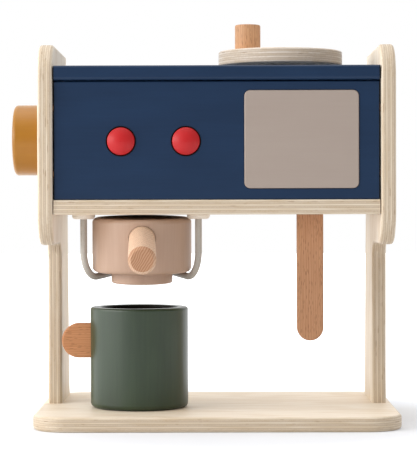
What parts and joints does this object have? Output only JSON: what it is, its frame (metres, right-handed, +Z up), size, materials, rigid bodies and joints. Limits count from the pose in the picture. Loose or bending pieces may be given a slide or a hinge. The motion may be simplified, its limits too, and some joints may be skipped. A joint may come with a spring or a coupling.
{
  "type": "toy coffee maker",
  "caption": "Wooden toy espresso machine: box on side legs over a base, push buttons, side dial, crank disc on top, portafilter in a wire cradle, swinging wand and a loose cup.",
  "frame": {"origin": "middle of the base board's underside, on the surface that the toy stands on", "axes": "+Z up, +X to the right of someone facing the buttons, +Y to the back; the portafilter's handle points towards -Y"},
  "size_m": [0.24, 0.216, 0.2493],
  "materials": {
    "birch_plywood": "clear matt lacquer on birch plywood",
    "navy_plywood": "navy satin paint on plywood",
    "taupe_plate": "taupe satin paint",
    "red_button": "red gloss lacquer on turned wood",
    "mustard_dial": "mustard satin paint on turned wood",
    "beech": "beech, sanded, clear matt lacquer",
    "beech_handle": "pale beech dowel, clear matt lacquer",
    "taupe_wood": "taupe satin paint on turned wood",
    "green_cup": "dark green satin paint on turned wood",
    "grey_wire": "warm grey powder coat on steel rod",
    "cream_collar": "cream moulded plastic",
    "white_plastic": "white moulded plastic",
    "zinc_steel": "bright zinc-plated steel",
    "spring_steel": "drawn spring steel"
  },
  "bodies": {
    "frame": {"base_board": "birch_plywood", "left_side_panel": "birch_plywood", "right_side_panel": "birch_plywood", "shelf_board": "birch_plywood", "front_panel": "navy_plywood", "top_board": "navy_plywood", "back_panel": "navy_plywood", "screen_plate": "taupe_plate", "panel_dowels": "beech", "base_screws": "zinc_steel", "back_panel_screws": "zinc_steel", "button_left_spring": "spring_steel", "button_right_spring": "spring_steel", "button_housing": "beech", "housing_screws": "zinc_steel", "grinder_spacer": "white_plastic", "cradle_wire": "grey_wire", "cradle_collars": "cream_collar", "cradle_push_nuts": "zinc_steel", "wand_bracket": "white_plastic", "wand_pin": "zinc_steel", "bracket_screws": "zinc_steel"},
    "dial": {"dial_knob": "mustard_dial", "dial_bolt": "zinc_steel", "dial_spacer": "white_plastic", "dial_washer": "zinc_steel", "dial_nut": "zinc_steel"},
    "grinder": {"grinder_disc": "birch_plywood", "grinder_knob": "beech", "grinder_bolt": "zinc_steel", "grinder_washer": "zinc_steel", "grinder_nut": "zinc_steel"},
    "button_left_cap": {"button_left": "red_button"},
    "button_right_cap": {"button_right": "red_button"},
    "portafilter": {"portafilter_body": "taupe_wood", "portafilter_handle": "beech_handle"},
    "steam_wand": {"wand": "beech"},
    "cup": {"cup_body": "green_cup", "cup_tab": "beech"}
  },
  "joints": [
    {"name": "dial_turn", "type": "hinge", "parent": "frame", "child": "dial", "pos_m": [-0.1087, -0.0125, 0.1777], "axis": [-1, 0, 0], "continuous": true},
    {"name": "grinder_turn", "type": "hinge", "parent": "frame", "child": "grinder", "pos_m": [0.0405, -0.01, 0.2213], "axis": [0, 0, 1], "continuous": true},
    {"name": "button_left_press", "type": "slide", "parent": "frame", "child": "button_left_cap", "axis": [0, 1, 0], "range_m": [0, 0.003], "stiffness_N_per_m": 250, "springref_m": -0.004, "deforming": ["button_left_spring"]},
    {"name": "button_right_press", "type": "slide", "parent": "frame", "child": "button_right_cap", "axis": [0, 1, 0], "range_m": [0, 0.003], "stiffness_N_per_m": 250, "springref_m": -0.004, "deforming": ["button_right_spring"]},
    {"name": "wand_swing", "type": "hinge", "parent": "frame", "child": "steam_wand", "pos_m": [0.0578, -0.035, 0.1497], "axis": [0, 1, 0], "range_deg": [-15, 15]},
    {"name": "portafilter_slide", "type": "slide", "parent": "frame", "child": "portafilter", "axis": [0, -0.9986, -0.0523], "range_m": [0, 0.12]},
    {"name": "cup_slide", "type": "slide", "parent": "frame", "child": "cup", "axis": [0, -1, 0], "range_m": [0, 0.11]}
  ]
}
